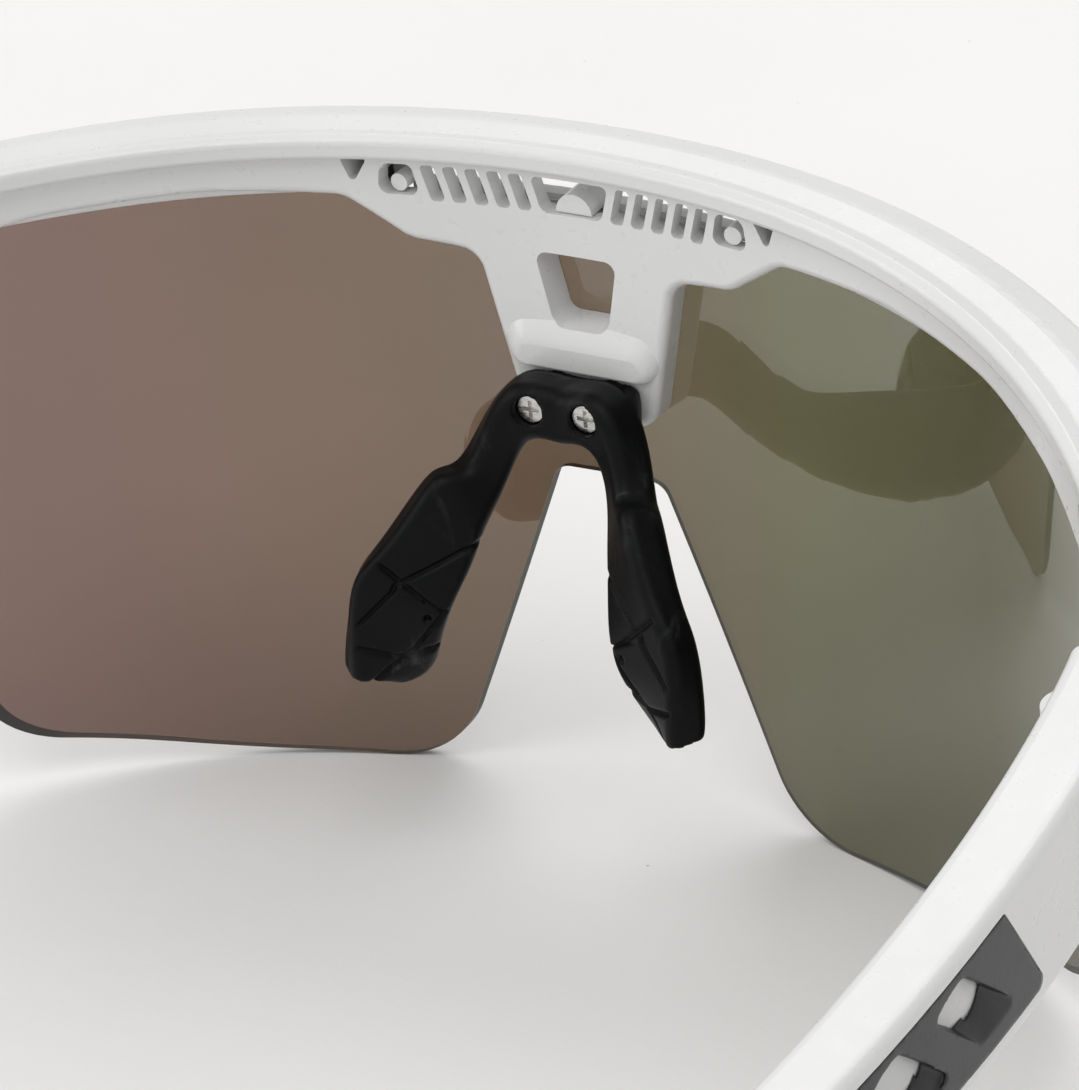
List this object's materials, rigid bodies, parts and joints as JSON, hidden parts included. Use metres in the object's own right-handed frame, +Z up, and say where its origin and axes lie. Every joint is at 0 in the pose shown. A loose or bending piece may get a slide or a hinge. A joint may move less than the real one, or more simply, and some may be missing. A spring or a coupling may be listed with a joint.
{
  "type": "wraparound sport sunglasses",
  "caption": "Half-frame wraparound sport sunglasses: a one-piece curved shield lens under a vented brow with a T-shaped bridge, a screwed rubber nose piece and folding arms.",
  "frame": {"origin": "middle of the footprint, on the surface that the lens's lower edge and the arm tips rest on", "axes": "+X to the wearer's left, +Y backward from the lens to the ear hooks, +Z up"},
  "size_m": [0.1416, 0.159, 0.0603],
  "materials": {
    "white_plastic": "satin-gloss injection-moulded white nylon",
    "lens": "tinted polycarbonate, polished, mirrored coating on the front",
    "black_rubber": "soft-touch matte rubber",
    "black_plastic": "matte moulded",
    "screw_steel": "polished plated steel",
    "brass": "turned brass",
    "nylon": "natural nylon"
  },
  "bodies": {
    "front": {"front_frame": "white_plastic", "lens": "lens", "vent_cover": "white_plastic", "nose_piece": "black_rubber", "nose_core": "black_plastic", "nose_screw_left": "screw_steel", "nose_screw_right": "screw_steel", "nose_insert_left": "brass", "nose_insert_right": "brass", "hinge_screw_left": "screw_steel", "hinge_screw_right": "screw_steel", "hinge_washer_left": "nylon", "hinge_washer_right": "nylon", "hinge_insert_left": "brass", "hinge_insert_right": "brass"},
    "left_arm": {"temple_arm_left": "white_plastic", "temple_insert_left": "black_plastic", "ear_sock_left": "black_rubber"},
    "right_arm": {"temple_arm_right": "white_plastic", "temple_insert_right": "black_plastic", "ear_sock_right": "black_rubber"}
  },
  "joints": [
    {"name": "left_arm_fold", "type": "hinge", "parent": "front", "child": "left_arm", "pos_m": [0.0632, -0.02587, 0.04599], "axis": [0, 0, 1], "range_deg": [0, 80]},
    {"name": "right_arm_fold", "type": "hinge", "parent": "front", "child": "right_arm", "pos_m": [-0.0632, -0.02587, 0.04599], "axis": [0, 0, -1], "range_deg": [0, 90]}
  ]
}
